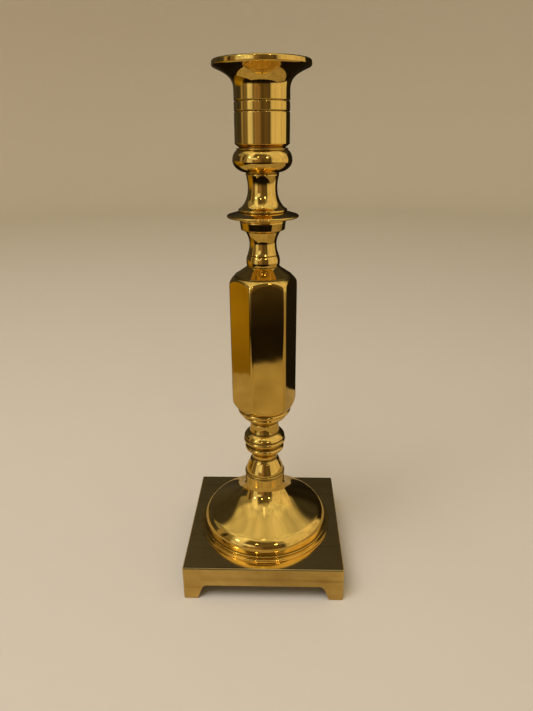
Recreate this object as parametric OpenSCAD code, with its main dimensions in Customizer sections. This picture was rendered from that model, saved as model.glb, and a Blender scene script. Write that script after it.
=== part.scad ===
// Brass candlestick: a six-sided column between turned knops, on a bell foot and a square footed base.
// The brass pieces stand on each other, each located by a short spigot, and one tie rod clamps them:
// it screws into the candle socket at the top and takes a washer and a nut under the base.
// The origin is on the table under the middle of the base, +Z up, in millimetres.

/* [Base] */
// Width of the square base
base_w = 88; // [86:1:100]
// Height of the base's top face above the table
base_h = 20.5; // [20:0.5:24]
// Thickness of the base's top
base_top_t = 3; // [2.5:0.5:3.5]
// Thickness of the base's skirt
base_wall = 4; // [3:0.5:5]
// Height of the arch between two feet
arch_h = 9; // [7:0.5:9]
// Width of a foot at the arch's top
foot_top_w = 11; // [10:0.5:14]
// Width of a foot at the table
foot_low_w = 7.7; // [7:0.1:9]
// Length over which the arch's upper corners are rounded
arch_round = 2; // [1:0.5:3]
// Radius of the base's upright corners
base_corner_r = 1; // [0.5:0.1:2]
// Bevel on the base's top edge
base_bevel = 0.6; // [0.3:0.1:1]
// Height of the round register that centres the bell foot
register_h = 1.2; // [0.8:0.1:2]
// Width of the register's ring
register_w = 3; // [2:0.5:5]

/* [Bell foot] */
// Height of the bell foot
bell_h = 34.8; // [33.3:0.5:41.3]
// How far the step that stands on the base is wider than the band, in radius
bell_step_out = 2.6; // [2:0.1:4]
// Height of that step
bell_step_h = 1.4; // [1:0.1:2]
// How far the fine bead above the step stands out from the band
bell_bead_out = 0.7; // [0.5:0.1:1.2]
// Height of that bead
bell_bead_h = 0.8; // [0.5:0.1:1]
// Radius of the bell's upright band
bell_r = 36.2; // [34:0.1:37]
// Height of the band above the bead
bell_band_h = 1.9; // [1.5:0.1:2.5]
// Radius of the round shoulder above the band
bell_round_r = 8; // [7:0.5:9]
// Angle that the shoulder turns through
bell_round_angle = 62; // [55:1:65]
// Radius of the bell's neck
bell_neck_r = 11.4; // [11:0.1:12]
// Height of the neck's straight part
bell_neck_h = 5.3; // [4.3:0.5:6.3]
// Thickness of the bell's wall
bell_wall = 3.2; // [2.5:0.1:3.4]
// Radius of the boss inside the bell
bell_boss_r = 9; // [8:0.5:10]

/* [Vase collar] */
// Height of the vase-shaped collar
vase_h = 9.9; // [9:0.1:13]
// How far the fine bead at its foot stands out
vase_bead_out = 0.6; // [0.5:0.1:1]
// Height of that bead
vase_bead_h = 1; // [0.8:0.1:1.2]
// How far the collar is smaller than the bell's neck, in radius
vase_inset = 0.5; // [0.2:0.1:1]
// Radius at the top
vase_top_r = 7.3; // [7.1:0.1:7.6]

/* [Ball knop] */
// Height of the ball knop
ball_h = 22.8; // [22:0.1:26]
// Largest radius of the ball
ball_r = 11.8; // [11.4:0.1:12.5]
// Height of that radius above the knop's foot
ball_mid_h = 11.6; // [11:0.1:13]
// Radius of the ball's upper edge, where the neck begins
ball_neck_r = 8.6; // [8.3:0.1:9]
// Height of that edge above the knop's foot
ball_neck_h = 18.2; // [17.5:0.1:19]
// Radius at the top of the neck
ball_top_r = 7.6; // [7.4:0.1:7.9]
// Radius of the two rings' round sections below the ball
ball_ring_r = 1.55; // [1.4:0.05:1.6]
// Depth of the turned lines on the cup
line_depth = 0.35; // [0.2:0.05:0.5]
// Width of each turned line
line_w = 0.7; // [0.5:0.1:0.9]

/* [Six-sided column] */
// Height of the column with its turned ends
column_h = 89; // [84:1:110]
// Radius of the column over its buffed corners
column_r = 17.85; // [17.6:0.05:18.2]
// Width across the column's flats
column_flats = 31; // [30.4:0.2:31.4]
// Angle of the column's flats to the base's sides
column_turn = 9.5; // [0:0.5:30]
// Height of the bowl under the flats
bowl_h = 15.5; // [14:0.5:18]
// Height of the dome over the flats
dome_h = 10.5; // [10:0.5:14]
// Radius of the round section of the ring under the flats
foot_ring_r = 1.45; // [1.3:0.05:1.5]
// Radius of the round section of the ring below it
low_ring_r = 1.25; // [1.1:0.05:1.3]
// Radius at both ends of the column
column_end_r = 8.2; // [8:0.1:8.5]

/* [Column neck] */
// Height of the neck above the column
stem_h = 22.9; // [22:0.1:26]
// Radius of the bead at its foot
stem_bead_r = 8.6; // [8.4:0.1:9]
// Height of that bead
stem_bead_h = 5.8; // [5:0.1:6.5]
// Radius of the waist
stem_waist_r = 6.8; // [6.6:0.1:7.2]
// Height of the waist above the foot
stem_waist_h = 11.4; // [10.5:0.1:12.5]
// Radius of the collar at its foot
collar_low_r = 10.9; // [10.5:0.1:11.2]
// Radius of the collar at its top
collar_r = 11.5; // [11.2:0.1:11.8]
// Height of the collar
collar_h = 4.5; // [4:0.1:5]

/* [Drip disc] */
// Radius of the drip disc
disc_r = 17.75; // [16:0.05:20]
// Thickness of the disc's rim
disc_rim_t = 1.3; // [1:0.1:1.6]
// Height of the disc's hub
disc_h = 4.1; // [3.8:0.1:5]
// Radius of the fine ring under the disc
disc_ring_r = 12.2; // [12:0.1:13]
// Height of that ring
disc_ring_h = 0.6; // [0.4:0.1:0.8]

/* [Upper neck] */
// Height of the trumpet neck above the disc
neck_h = 18; // [17:0.5:24]
// Radius of the ring at its foot
neck_foot_r = 12; // [11.8:0.1:12.4]
// Height of that ring
neck_foot_h = 1.4; // [1:0.1:1.8]
// Radius of the waist
neck_waist_r = 7.15; // [6.8:0.05:7.4]
// Height of the waist above the foot
neck_waist_h = 11; // [10:0.5:12]
// Radius of the lip at the top
neck_lip_r = 8; // [7.8:0.1:8.4]
// Height of the lip
neck_lip_h = 1; // [0.8:0.1:1.2]

/* [Bulb knop] */
// Height of the bulb knop
bulb_h = 11.5; // [11:0.5:13]
// Largest radius of the bulb
bulb_r = 14.3; // [13.8:0.1:15]
// Height of that radius above the knop's foot
bulb_mid_h = 5.6; // [5:0.1:6.5]
// Radius of the thin ring on the bulb
bulb_ring_r = 12.35; // [12:0.05:12.6]
// Height of that ring
bulb_ring_h = 1; // [0.8:0.1:1.2]
// Radius where the socket stands on the knop
bulb_top_r = 11.1; // [10.8:0.1:11.4]

/* [Candle socket] */
// Height of the candle socket
socket_h = 36.5; // [34:0.5:44]
// Thickness of the cup's wall
cup_wall = 1.8; // [1.4:0.1:2.4]
// Radius of the bore that holds the candle
candle_r = 11.2; // [10.5:0.1:11.4]
// Depth of the candle's bore
candle_depth = 27; // [24:0.5:27]
// Radius of the rim
rim_r = 22.7; // [21:0.1:26]
// Thickness of the rim's edge
rim_t = 2.8; // [2.2:0.1:3.4]
// Height of the flare under the rim
flare_h = 9.4; // [8:0.1:11]
// Bevel on the rim's upper edge and at the bore's mouth
rim_bevel = 0.6; // [0.3:0.1:0.8]
// Height of the cup's chamfered foot
cup_chamfer = 1.4; // [1:0.1:2]
// Height of the lower groove around the cup
groove_low_h = 15.3; // [14:0.1:16]
// Height of the upper groove around the cup
groove_high_h = 19.7; // [19:0.1:21]

/* [Tie rod and joints] */
// Diameter of the tie rod
rod_d = 6; // [5:0.5:6]
// Radial clearance of the rod in the brass pieces
rod_gap = 0.3; // [0.2:0.1:0.4]
// Radial clearance of the thread in the socket and the nut
thread_gap = 0.02; // [0.01:0.01:0.1]
// Length of the rod in the socket
rod_grip = 7; // [6:0.5:7]
// Length of the rod below the nut
rod_tail = 0.8; // [0.4:0.1:1]
// Chamfer on the rod's ends
rod_chamfer = 0.5; // [0.2:0.1:0.8]
// Radius of the locating spigots
spigot_r = 5; // [4.5:0.1:5.2]
// Length of the locating spigots
spigot_l = 1.6; // [1:0.1:1.8]
// Radial clearance of a spigot in its recess
spigot_gap = 0.05; // [0.02:0.01:0.1]
// Clearance under a spigot's end
spigot_end_gap = 0.3; // [0.2:0.1:0.4]
// Diameter of the flat washer
washer_d = 18; // [14:1:20]
// Thickness of the flat washer
washer_t = 1.2; // [1:0.1:1.6]
// Diameter of the split spring washer
spring_d = 11; // [10:0.5:12]
// Thickness of the spring washer
spring_t = 1.3; // [1:0.1:1.6]
// Width of the split in the spring washer
spring_slit = 0.8; // [0.5:0.1:1.2]
// Nut's width across flats
nut_w = 10; // [9.5:0.5:11]
// Nut's height
nut_h = 5; // [4.5:0.5:5]
// Chamfer on the nut's corners
nut_chamfer = 0.6; // [0.3:0.1:0.8]

/* [Hidden] */
$fn = 96;
// Number of steps in a curved stretch of an outline
steps = 12;
// Height of each piece's foot above the table
bell_z = base_h;
vase_z = bell_z + bell_h;
ball_z = vase_z + vase_h;
column_z = ball_z + ball_h;
stem_z = column_z + column_h;
disc_z = stem_z + stem_h;
neck_z = disc_z + disc_h;
bulb_z = neck_z + neck_h;
socket_z = bulb_z + bulb_h;
// Heights under the base's top
washer_z = base_h - base_top_t - washer_t;
spring_z = washer_z - spring_t;
nut_z = spring_z - nut_h;
rod_z = nut_z - rod_tail;
// Radii and depths of the joints
rod_r = rod_d / 2;
rod_hole_r = rod_r + rod_gap;
thread_r = rod_r + thread_gap;
recess_r = spigot_r + spigot_gap;
recess_depth = spigot_l + spigot_end_gap;
// Radii that follow from the pieces' widths and walls
hollow_r = (base_w / 2 - foot_top_w) * sqrt(2);
bell_step_r = bell_r + bell_step_out;
bell_bead_r = bell_r + bell_bead_out;
vase_r = bell_neck_r - vase_inset;
vase_bead_r = vase_r + vase_bead_out;
cup_r = candle_r + cup_wall;
// Height of the bell foot's band and the middle of its shoulder's arc
bell_round_z = bell_step_h + bell_bead_h + bell_band_h;
bell_round_x = bell_r - bell_round_r;
// Inner radius of the bell foot's rim
bell_rim_in = bell_r - bell_wall;
// Extra length of a cutter past the face that it cuts
past = 1;

// Points of a smooth curve from a to b, which leaves a along u and reaches b along v
function curve(a, u, v, b, n = steps) =
    [for (i = [0:n])
        let (t = i / n, s = 1 - t)
        s * s * s * a + 3 * s * s * t * (a + u) + 3 * s * t * t * (b - v) + t * t * t * b];

// Points of an arc around [x, z], from one angle to another
function arc(x, z, r, from, to, n = steps) =
    [for (i = [0:n])
        let (angle = from + (to - from) * i / n)
        [x + r * cos(angle), z + r * sin(angle)]];

// Points of a half-round bead of radius r that stands h high on the height z
function bead(r, z, h) = arc(r - h / 2, z + h / 2, h / 2, -90, 90, 8);

// Points of a V-shaped turned line in a wall from [r1, z - w / 2] to [r2, z + w / 2]
function turned_line(r1, r2, z) =
    [[r1, z - line_w / 2], [(r1 + r2) / 2 - line_depth, z], [r2, z + line_w / 2]];

// A turned piece from the right half of its outline, closed along the axis
module turned(outline) {
    rotate_extrude()
        polygon(concat([[0, outline[0].y]], outline, [[0, outline[len(outline) - 1].y]]));
}

// A stacked piece: its body with a spigot below, a recess above and the rod's hole through it
module stacked(h, spigot = true) {
    difference() {
        union() {
            children();
            if (spigot) translate([0, 0, -spigot_l]) cylinder(r = spigot_r, h = spigot_l + past);
        }
        translate([0, 0, -spigot_l - past]) cylinder(r = rod_hole_r, h = h + spigot_l + 2 * past);
        translate([0, 0, h - recess_depth]) cylinder(r = recess_r, h = recess_depth + past);
    }
}

module rounded_square(w, r) {
    square([w - 2 * r, w], center = true);
    square([w, w - 2 * r], center = true);
    for (x = [-1, 1], y = [-1, 1])
        translate([x * (w / 2 - r), y * (w / 2 - r)]) circle(r = r);
}

// The opening between two feet, cut through the base from front to back
module arch() {
    half = base_w / 2 - foot_top_w;
    lean = (foot_top_w - foot_low_w) / arch_h;
    top_right = curve([half + lean * arch_round, arch_h - arch_round],
        [-lean, 1] * arch_round / 2, [-1, 0] * arch_round / 2, [half - arch_round, arch_h], 6);
    right = concat([[half + lean * (arch_h + past), -past]], top_right);
    left = [for (i = [len(right) - 1:-1:0]) [-right[i].x, right[i].y]];
    rotate([90, 0, 0])
        linear_extrude(base_w + 2 * past, center = true)
            polygon(concat(right, left));
}

// The bevelled side view of the base, drawn out across it
module bevelled_bar() {
    half = base_w / 2;
    rotate([90, 0, 0])
        linear_extrude(base_w + 2 * past, center = true)
            polygon([[-half, 0], [half, 0], [half, base_h - base_bevel], [half - base_bevel, base_h],
                [base_bevel - half, base_h], [-half, base_h - base_bevel]]);
}

module base_plate() {
    register_r = bell_rim_in - spigot_gap;
    color("darkgoldenrod") difference() {
        union() {
            intersection() {
                linear_extrude(base_h) rounded_square(base_w, base_corner_r);
                bevelled_bar();
                rotate([0, 0, 90]) bevelled_bar();
            }
            translate([0, 0, base_h - past]) cylinder(r = register_r, h = register_h + past);
        }
        translate([0, 0, -past]) linear_extrude(base_h - base_top_t + past)
            intersection() {
                square(base_w - 2 * base_wall, center = true);
                circle(r = hollow_r);
            }
        arch();
        rotate([0, 0, 90]) arch();
        translate([0, 0, base_h]) cylinder(r = register_r - register_w, h = register_h + past);
        translate([0, 0, -past]) cylinder(r = rod_hole_r, h = base_h + 2 * past);
    }
}

module bell_foot() {
    shoulder_end = [bell_round_x + bell_round_r * cos(bell_round_angle),
        bell_round_z + bell_round_r * sin(bell_round_angle)];
    inner_round_r = bell_round_r - bell_wall;
    inner_end = [bell_round_x + inner_round_r * cos(bell_round_angle),
        bell_round_z + inner_round_r * sin(bell_round_angle)];
    along = [-sin(bell_round_angle), cos(bell_round_angle)];
    flare_top = bell_h - bell_neck_h;
    outline = concat(
        [[bell_step_r, 0], [bell_step_r, bell_step_h - 0.3], [bell_step_r - 0.3, bell_step_h]],
        bead(bell_bead_r, bell_step_h, bell_bead_h),
        [[bell_r, bell_step_h + bell_bead_h]],
        arc(bell_round_x, bell_round_z, bell_round_r, 0, bell_round_angle),
        curve(shoulder_end, along * 11, [0, 9], [bell_neck_r, flare_top]),
        [[bell_neck_r, bell_h]]);
    hollow = concat(
        [[bell_boss_r, -past], [bell_rim_in, -past]],
        arc(bell_round_x, bell_round_z, inner_round_r, 0, bell_round_angle),
        curve(inner_end, along * 11, [0, 4], [bell_boss_r, flare_top - 9]));
    color("goldenrod") translate([0, 0, bell_z]) difference() {
        stacked(bell_h, spigot = false) turned(outline);
        rotate_extrude() polygon(hollow);
    }
}

module vase_collar() {
    outline = concat(
        [[bell_neck_r - 0.3, 0]],
        bead(vase_bead_r, 0, vase_bead_h),
        curve([vase_r, vase_bead_h], [-0.05, 2], [-1.2, 3], [vase_top_r + 1, vase_h - 1.6]),
        [[vase_top_r, vase_h - 0.4], [vase_top_r, vase_h]]);
    color("goldenrod") translate([0, 0, vase_z]) stacked(vase_h) turned(outline);
}

module ball_knop() {
    outline = concat(
        [[vase_top_r, 0], [vase_top_r, 2]],
        curve([vase_top_r, 2], [0.2, 1.6], [1.2, 1.2], [10.3, 5.6]),
        arc(9.5, 7, ball_ring_r, -50, 70),
        arc(ball_r - ball_ring_r, ball_mid_h, ball_ring_r, -50, 65),
        curve([11.4, 14], [-0.4, 1.6], [-0.9, 1], [ball_neck_r, ball_neck_h]),
        curve([ball_neck_r, ball_neck_h], [-0.5, 1], [0, 1.4], [ball_top_r, ball_h - 0.6]),
        [[ball_top_r, ball_h]]);
    color("goldenrod") translate([0, 0, ball_z]) stacked(ball_h) turned(outline);
}

module hex_column() {
    top = column_h - dome_h;
    outline = concat(
        [[ball_top_r, 0], [ball_top_r, 0.3]],
        curve([column_end_r, 0.6], [0.6, 1.4], [0.9, 0.9], [10.8, 3.5]),
        arc(11.1, 4.9, low_ring_r, -60, 65),
        arc(13.2, 8.1, foot_ring_r, -55, 65),
        curve([15, 10], [1, 0.9], [0.1, 2.6], [column_r, bowl_h]),
        curve([column_r, top], [-0.1, 2.6], [-1.4, 1.1], [14.9, column_h - 5]),
        [[14.45, column_h - 4.75]],
        curve([14.6, column_h - 4.45], [-2, 1.25], [-0.9, 0.9], [column_end_r, column_h]));
    color("darkgoldenrod") translate([0, 0, column_z]) rotate([0, 0, column_turn]) stacked(column_h)
        intersection() {
            turned(outline);
            cylinder(d = column_flats / cos(30), h = column_h, $fn = 6);
        }
}

module column_neck() {
    collar_z = stem_h - collar_h;
    outline = concat(
        [[column_end_r, 0]],
        curve([column_end_r, 0.2], [0.5, 1.7], [-0.75, 1.5], [7.9, stem_bead_h - 0.2]),
        [[7.5, stem_bead_h]],
        curve([7.8, stem_bead_h + 0.3], [-0.5, 1.4], [0, 2], [stem_waist_r, stem_waist_h]),
        curve([stem_waist_r, stem_waist_h], [0, 2.2], [1.1, 2], [8.7, collar_z - 0.9]),
        [[collar_low_r, collar_z], [collar_r, stem_h]]);
    color("goldenrod") translate([0, 0, stem_z]) stacked(stem_h) turned(outline);
}

module drip_disc() {
    rim_z = disc_ring_h + 0.7;
    outline = [[disc_ring_r, 0], [disc_ring_r, disc_ring_h], [disc_ring_r - 0.4, disc_ring_h + 0.2],
        [disc_r - 0.5, rim_z], [disc_r, rim_z + 0.4], [disc_r, rim_z + disc_rim_t - 0.4],
        [disc_r - 0.4, rim_z + disc_rim_t], [neck_foot_r, disc_h]];
    color("darkgoldenrod") translate([0, 0, disc_z]) stacked(disc_h) turned(outline);
}

module upper_neck() {
    outline = concat(
        [[neck_foot_r, 0], [neck_foot_r, neck_foot_h - 0.3], [neck_foot_r - 0.4, neck_foot_h]],
        curve([neck_foot_r - 0.4, neck_foot_h], [-2.4, 1.2], [0, 4.5], [neck_waist_r, neck_waist_h]),
        curve([neck_waist_r, neck_waist_h], [0, 2.5], [0.4, 1.4], [neck_lip_r, neck_h - neck_lip_h]),
        [[neck_lip_r, neck_h]]);
    color("goldenrod") translate([0, 0, neck_z]) stacked(neck_h) turned(outline);
}

module bulb_knop() {
    ring_z = bulb_h - bulb_ring_h - 0.4;
    outline = concat(
        [[neck_lip_r, 0]],
        curve([neck_lip_r + 0.2, 0.3], [3.2, 0.2], [0, 2.6], [bulb_r, bulb_mid_h]),
        curve([bulb_r, bulb_mid_h], [0, 2], [-1.1, 1], [bulb_ring_r + 0.2, ring_z]),
        [[bulb_ring_r - 0.3, ring_z + 0.2]],
        bead(bulb_ring_r, ring_z + 0.2, bulb_ring_h - 0.2),
        [[bulb_top_r, bulb_h - 0.4], [bulb_top_r, bulb_h]]);
    color("goldenrod") translate([0, 0, bulb_z]) stacked(bulb_h) turned(outline);
}

module candle_socket() {
    rim_z = socket_h - rim_t;
    outline = concat(
        [[bulb_top_r, 0], [bulb_top_r + 0.5, 0.4], [cup_r, cup_chamfer]],
        turned_line(cup_r, cup_r, groove_low_h),
        turned_line(cup_r, cup_r, groove_high_h),
        curve([cup_r, rim_z - flare_h], [0, 4.4], [4.2, 2], [rim_r - 3.2, rim_z - 1.2]),
        [[rim_r - 0.5, rim_z], [rim_r, rim_z + 0.5], [rim_r, socket_h - rim_bevel],
            [rim_r - rim_bevel, socket_h]]);
    color("goldenrod") translate([0, 0, socket_z]) difference() {
        union() {
            turned(outline);
            translate([0, 0, -spigot_l]) cylinder(r = spigot_r, h = spigot_l + past);
        }
        translate([0, 0, -spigot_l - past])
            cylinder(r = thread_r, h = rod_grip + spigot_l + spigot_end_gap + past);
        translate([0, 0, socket_h - candle_depth]) cylinder(r = candle_r, h = candle_depth + past);
        translate([0, 0, socket_h - rim_bevel])
            cylinder(r1 = candle_r, r2 = candle_r + 2 * rim_bevel, h = 2 * rim_bevel);
    }
}

module tie_rod() {
    rod_h = socket_z + rod_grip - spigot_l - rod_z;
    inset = rod_r - rod_chamfer;
    color("lightsteelblue") translate([0, 0, rod_z])
        turned([[inset, 0], [rod_r, rod_chamfer], [rod_r, rod_h - rod_chamfer], [inset, rod_h]]);
}

module base_washer() {
    color("silver") translate([0, 0, washer_z]) difference() {
        cylinder(d = washer_d, h = washer_t);
        translate([0, 0, -past]) cylinder(r = rod_hole_r, h = washer_t + 2 * past);
    }
}

module spring_washer() {
    color("lightgray") translate([0, 0, spring_z]) difference() {
        cylinder(d = spring_d, h = spring_t);
        translate([0, 0, -past]) cylinder(r = rod_hole_r, h = spring_t + 2 * past);
        rotate([0, 0, 40]) translate([0, -spring_slit / 2, -past])
            cube([spring_d, spring_slit, spring_t + 2 * past]);
    }
}

module hex_nut() {
    corner_r = nut_w / 2 / cos(30);
    color("silver") translate([0, 0, nut_z]) difference() {
        intersection() {
            cylinder(r = corner_r, h = nut_h, $fn = 6);
            turned([[corner_r - nut_chamfer, 0], [corner_r + 0.1, nut_chamfer],
                [corner_r + 0.1, nut_h - nut_chamfer], [corner_r - nut_chamfer, nut_h]]);
        }
        translate([0, 0, -past]) cylinder(r = thread_r, h = nut_h + 2 * past);
    }
}

base_plate();
bell_foot();
vase_collar();
ball_knop();
hex_column();
column_neck();
drip_disc();
upper_neck();
bulb_knop();
candle_socket();
tie_rod();
base_washer();
spring_washer();
hex_nut();
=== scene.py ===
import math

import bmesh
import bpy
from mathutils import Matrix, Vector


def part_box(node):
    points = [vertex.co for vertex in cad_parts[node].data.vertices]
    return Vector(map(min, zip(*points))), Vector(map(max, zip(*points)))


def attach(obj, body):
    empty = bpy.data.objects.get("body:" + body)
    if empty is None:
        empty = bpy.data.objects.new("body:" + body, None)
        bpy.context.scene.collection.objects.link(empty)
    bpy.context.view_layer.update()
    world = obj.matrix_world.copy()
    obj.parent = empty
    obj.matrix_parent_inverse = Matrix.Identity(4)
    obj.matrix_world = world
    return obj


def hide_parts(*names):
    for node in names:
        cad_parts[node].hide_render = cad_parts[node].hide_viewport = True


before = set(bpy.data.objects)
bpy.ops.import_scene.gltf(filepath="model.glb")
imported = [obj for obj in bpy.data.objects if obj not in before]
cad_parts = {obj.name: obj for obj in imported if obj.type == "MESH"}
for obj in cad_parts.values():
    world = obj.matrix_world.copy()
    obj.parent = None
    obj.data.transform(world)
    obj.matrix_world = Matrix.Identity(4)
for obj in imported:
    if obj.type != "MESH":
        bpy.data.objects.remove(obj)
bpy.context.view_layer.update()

# %% [markdown]
# # A brass candlestick
# A candlestick like this one is a stack of brass pieces. Each piece is cast a little too big, put in a lathe,
# turned to its outline and then polished on a cloth wheel. The six-sided column is turned at both ends and
# ground flat on its sides, and the square base is a casting that is filed, buffed and left a little satin.
# A steel rod runs up the middle and pulls the whole stack together.
# The CAD model holds the true sizes and the joints. This lesson makes the same pieces again with the soft
# edges, fine lines and worn polish that the light shows, each one in the place of its CAD node.

MM = 0.001
TOUCHING = 0.002 * MM
scene = bpy.context.scene
print("CAD nodes:", ", ".join(sorted(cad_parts)))

# %% [markdown]
# ## The camera
# The camera comes first, because it decides which faces matter. It stands close to the candlestick and a
# little above it, and looks down at the base, so the cup is seen from its side and the base from above.
# A short lens this close makes the base look wide and the sides of the column lean in.

# %% Place the camera
CAMERA_PLACE = Vector((9.15, -277.55, 238.1)) * MM
CAMERA_DOWN = 21.68
CAMERA_TURN = 1.6
CAMERA_ROLL = -0.35

lens = bpy.data.cameras.new("camera")
lens.sensor_width = 36
lens.lens = 27.88
lens.clip_start = 0.01
camera = bpy.data.objects.new("camera", lens)
turn = Matrix.Rotation(math.radians(CAMERA_TURN), 4, "Z")
tilt = Matrix.Rotation(math.radians(90 - CAMERA_DOWN), 4, "X")
roll = Matrix.Rotation(math.radians(CAMERA_ROLL), 4, "Z")
camera.matrix_world = Matrix.Translation(CAMERA_PLACE) @ turn @ tilt @ roll
scene.collection.objects.link(camera)
scene.camera = camera
print("camera looks down", CAMERA_DOWN, "degrees")

# %% [markdown]
# ## Small helpers
# Colours are easiest to choose as the hex numbers of a screen, but a renderer counts light, so one function
# turns them to linear values. Node trees, for shapes and for finishes alike, are built by one function that
# adds a node, sets its choices and plugs in what feeds it. All trees for shapes start and end alike, and so
# do all finishes, so these have helpers too.

# %% Colour and node helpers
def linear(hex_colour):
    """The linear red, green, blue and alpha of a screen colour such as #C8963C."""
    shares = [int(hex_colour[i : i + 2], 16) / 255 for i in (1, 3, 5)]
    return (*[c / 12.92 if c <= 0.04045 else ((c + 0.055) / 1.055) ** 2.4 for c in shares], 1.0)


def add(tree, kind, feeds=None, **choices):
    """Adds a node. feeds maps an input's name or number to a node, a socket or a plain value."""
    # Shader nodes go by their short names here: Math stands for ShaderNodeMath.
    node = tree.nodes.new(kind if "Node" in kind else "ShaderNode" + kind)
    for name, value in choices.items():
        setattr(node, name, value)
    for name, source in (feeds or {}).items():
        if isinstance(source, bpy.types.Node):
            source = source.outputs[0]
        if isinstance(source, bpy.types.NodeSocket):
            tree.links.new(source, node.inputs[name])
        else:
            node.inputs[name].default_value = source
    return node


def shape_tree(name, takes, sizes, kind="NodeSocketFloat"):
    """A new tree that takes a shape, some sizes and a finish, and its inputs."""
    tree = bpy.data.node_groups.new(name, "GeometryNodeTree")
    sockets = tree.interface
    sockets.new_socket(takes, in_out="INPUT", socket_type="NodeSocketGeometry")
    for size in sizes:
        sockets.new_socket(size, in_out="INPUT", socket_type=kind)
    sockets.new_socket("Finish", in_out="INPUT", socket_type="NodeSocketMaterial")
    sockets.new_socket("Piece", in_out="OUTPUT", socket_type="NodeSocketGeometry")
    return tree, add(tree, "NodeGroupInput").outputs


def end_shape(tree, given, shape):
    """Makes the shape real, gives it its finish and hands it over."""
    real = add(tree, "GeometryNodeRealizeInstances", {"Geometry": shape})
    finished = add(tree, "GeometryNodeSetMaterial", {"Geometry": real, "Material": given["Finish"]})
    add(tree, "NodeGroupOutput", {0: finished})
    return tree


def blank_material(name):
    """A new finish with nothing in it, its tree, and the place of each point on the piece."""
    material = bpy.data.materials.new(name)
    material.use_nodes = True
    tree = material.node_tree
    tree.nodes.clear()
    return material, tree, add(tree, "TexCoord").outputs["Object"]


def end_material(tree, colour, **settings):
    """Ends a finish with a shader of this colour."""
    shader = add(tree, "BsdfPrincipled", {"Base Color": colour, **settings})
    add(tree, "OutputMaterial", {"Surface": shader})


# %% [markdown]
# ## A lathe made of nodes
# Every turned piece is one outline carried round an axis. On a real lathe the tool follows the outline while
# the brass spins. Here Geometry Nodes do it: a flat grid gets one row for each point of the outline and one
# column for each step round the axis, and each grid point moves to its place. The outline also carries a
# number called crevice, which is 1 at the bottom of a groove, so that the finish can keep old polish there.

# %% The lathe
def lathe_tree():
    tree, given = shape_tree("lathe", "Outline", ["Steps"], "NodeSocketInt")
    points = add(tree, "GeometryNodeAttributeDomainSize", {0: given["Outline"]}, component="MESH")
    columns = add(tree, "Math", {0: given["Steps"], 1: 1}, operation="ADD")
    grid = add(tree, "GeometryNodeMeshGrid",
               {"Size X": 1, "Size Y": 1, "Vertices X": columns, "Vertices Y": points.outputs["Point Count"]})
    position = add(tree, "GeometryNodeInputPosition")
    place = add(tree, "SeparateXYZ", {0: position})
    last = add(tree, "Math", {0: points.outputs["Point Count"], 1: 1}, operation="SUBTRACT")
    share = add(tree, "Math", {0: place.outputs["Y"], 1: 0.5}, operation="ADD")
    exact = add(tree, "Math", {0: share, 1: last}, operation="MULTIPLY")
    row = add(tree, "Math", {0: exact}, operation="ROUND")
    turned = add(tree, "Math", {0: place.outputs["X"], 1: 0.5}, operation="ADD")
    angle = add(tree, "Math", {0: turned, 1: math.tau}, operation="MULTIPLY")
    point = add(tree, "GeometryNodeSampleIndex",
                {"Geometry": given["Outline"], "Value": position, "Index": row}, data_type="FLOAT_VECTOR")
    crevice = add(tree, "GeometryNodeInputNamedAttribute", {"Name": "crevice"}, data_type="FLOAT")
    depth = add(tree, "GeometryNodeSampleIndex",
                {"Geometry": given["Outline"], "Value": crevice, "Index": row}, data_type="FLOAT")
    outline = add(tree, "SeparateXYZ", {0: point})
    cosine = add(tree, "Math", {0: angle}, operation="COSINE")
    sine = add(tree, "Math", {0: angle}, operation="SINE")
    x = add(tree, "Math", {0: outline.outputs["X"], 1: cosine}, operation="MULTIPLY")
    y = add(tree, "Math", {0: outline.outputs["X"], 1: sine}, operation="MULTIPLY")
    target = add(tree, "CombineXYZ", {0: x, 1: y, 2: outline.outputs["Z"]})
    noted = add(tree, "GeometryNodeStoreNamedAttribute",
                {"Geometry": grid.outputs["Mesh"], "Name": "crevice", "Value": depth},
                data_type="FLOAT", domain="POINT")
    moved = add(tree, "GeometryNodeSetPosition", {"Geometry": noted, "Position": target})
    closed = add(tree, "GeometryNodeMergeByDistance", {"Geometry": moved, "Distance": TOUCHING})
    smooth = add(tree, "GeometryNodeSetShadeSmooth", {"Geometry": closed})
    return end_shape(tree, given, smooth)


LATHE = lathe_tree()
print("lathe nodes:", len(LATHE.nodes))

# %% [markdown]
# ## A grinder for flats
# The column's six sides are ground after it is turned, and so are a nut's. A second tree does this to any
# turned piece: it finds each point's distance from the axis and pulls it in to the flat, with a small radius
# at the corners and a soft change where a flat runs out into the turned surface, as a polishing wheel does.

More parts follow.
